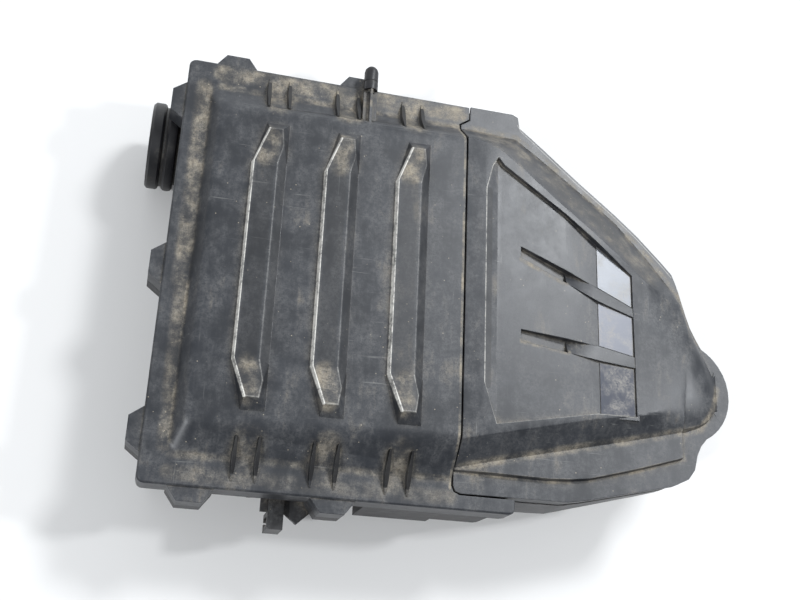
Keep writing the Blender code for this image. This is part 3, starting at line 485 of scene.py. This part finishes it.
def dress_nodes():
    cover_dust, cover_wear_and_highlight, cover_painted_shade = cover_lines()
    looks = {
        "top_cover": plastic(
            "cover_plastic", (0.020, 0.0225, 0.028), 0.38, edge=0.8,
            dusty=cover_dust, wear_and_highlight=cover_wear_and_highlight, dark=cover_painted_shade),
        "nose_cover": plastic(
            "hood_plastic_look", (0.019, 0.0215, 0.027), 0.37, edge=0.8,
            dusty=segments(HOOD_DUST), wear_and_highlight=segments(HOOD_WORN), dark=segments(HOOD_PAINTED_SHADE)),
        "lower_case": plastic("case_plastic_look", (0.022, 0.022, 0.024), 0.5, dust=0.6),
        "nose_duct": plastic("duct_plastic_look", (0.045, 0.045, 0.048), 0.42, dust=0.3),
        "harness_clip": plastic("clip_plastic_look", (0.010, 0.010, 0.011), 0.4, dust=0.35, edge=0.4),
        # The three plates share one finish: the upper plate's light colour is a painted bright reflection,
        # the middle one's a lesser painted reflection, the lower plate's dark colour a painted dark
        # reflection
        "accent_upper": accent("accent_painted_bright_reflection", (0.16, 0.168, 0.185)),
        "accent_middle": accent("accent_painted_half_reflection", (0.12, 0.126, 0.148)),
        "accent_lower": accent("accent_painted_dark_reflection", (0.016, 0.02, 0.034)),
        "filter_media": paper("filter_paper_look"),
        "filter_seal": foam("seal_foam_look"),
    }
    rubber_look, steel_look = rubber("rubber_look"), steel("screw_steel")
    group = smooth_group()
    for name, piece in nodes.items():
        is_steel = "screw" in name or "sleeve" in name
        piece.data.materials.clear()
        piece.data.materials.append(looks.get(name, steel_look if is_steel else rubber_look))
        soften(piece, group)


# Floor, light and camera ------------------------------------------------------------------------

def link(name, data):
    made = bpy.data.objects.new(name, data)
    bpy.context.scene.collection.objects.link(made)
    return made


def floor_sheet(size, steps):
    row = steps + 1
    marks = [size * (i / steps - 0.5) for i in range(row)]
    points = [(x, y, 0.0) for y in marks for x in marks]
    corners = [j * row + i for j in range(steps) for i in range(steps)]
    mesh = bpy.data.meshes.new("floor_sheet")
    mesh.from_pydata(points, [], [(c, c + 1, c + row + 1, c + row) for c in corners])
    made, g, shader = new_material("pale_floor")
    vector, _ = g.place()
    broad = g.noise(vector, size=260.0, detail=3.0, roughness=0.5)
    g.feed(shader.inputs["Base Color"], g.mix(broad, FLOOR, PALE_FLOOR))
    shader.inputs["Emission Color"].default_value = (1.0, 1.0, 1.0, 1.0)
    shader.inputs["Emission Strength"].default_value = FLOOR_GLOW
    shader.inputs["Roughness"].default_value = 0.6
    mesh.materials.append(made)
    link("floor_sheet", mesh)


def soft_world():
    """Bright backdrop beyond +Y, a soft zenith, and a dim room towards the camera and the sides."""
    world = bpy.data.worlds.new("soft_room")
    world.use_nodes = True
    bpy.context.scene.world = world
    g = Graph(world.node_tree)
    _, towards_back, upwards = g.split(g.node("ShaderNodeTexCoord").outputs["Generated"])
    overhead = g.ramp(upwards, 0.35, 0.95, 0.0, OVERHEAD_LEVEL)
    backdrop = g.ramp(towards_back, 0.2, 0.85, 0.0, BACKDROP_LEVEL)
    shader = world.node_tree.nodes["Background"]
    g.feed(shader.inputs["Strength"], g.add(g.most(overhead, backdrop), ROOM_LEVEL))
    shader.inputs["Color"].default_value = ROOM_COLOUR


def area_light(name, place, size, power):
    data = bpy.data.lights.new(name, "AREA")
    data.shape = "RECTANGLE"
    data.size, data.size_y = size
    data.energy = power
    data.color = LIGHT_COLOUR
    made = link(name, data)
    made.location = place
    aim = Vector(LIGHT_TARGET) - Vector(place)
    made.rotation_euler = aim.to_track_quat("-Z", "Y").to_euler()


def view_camera():
    data = bpy.data.cameras.new("view_camera")
    data.lens, data.sensor_width = LENS, SENSOR
    data.clip_start, data.clip_end = CLIP_START, CLIP_END
    made = link("view_camera", data)
    turn = Matrix((CAMERA_RIGHT, CAMERA_UP, CAMERA_BACK)).transposed().to_4x4()
    made.matrix_world = Matrix.Translation(CAMERA_PLACE) @ turn
    bpy.context.scene.camera = made


dress_nodes()
floor_sheet(FLOOR_SIZE, FLOOR_STEPS)
soft_world()
for light, (place, size, power) in LIGHTS.items():
    area_light(light, place, size, power)
view_camera()
bpy.context.scene.view_settings.view_transform = "Standard"
bpy.context.scene.view_settings.look = "None"
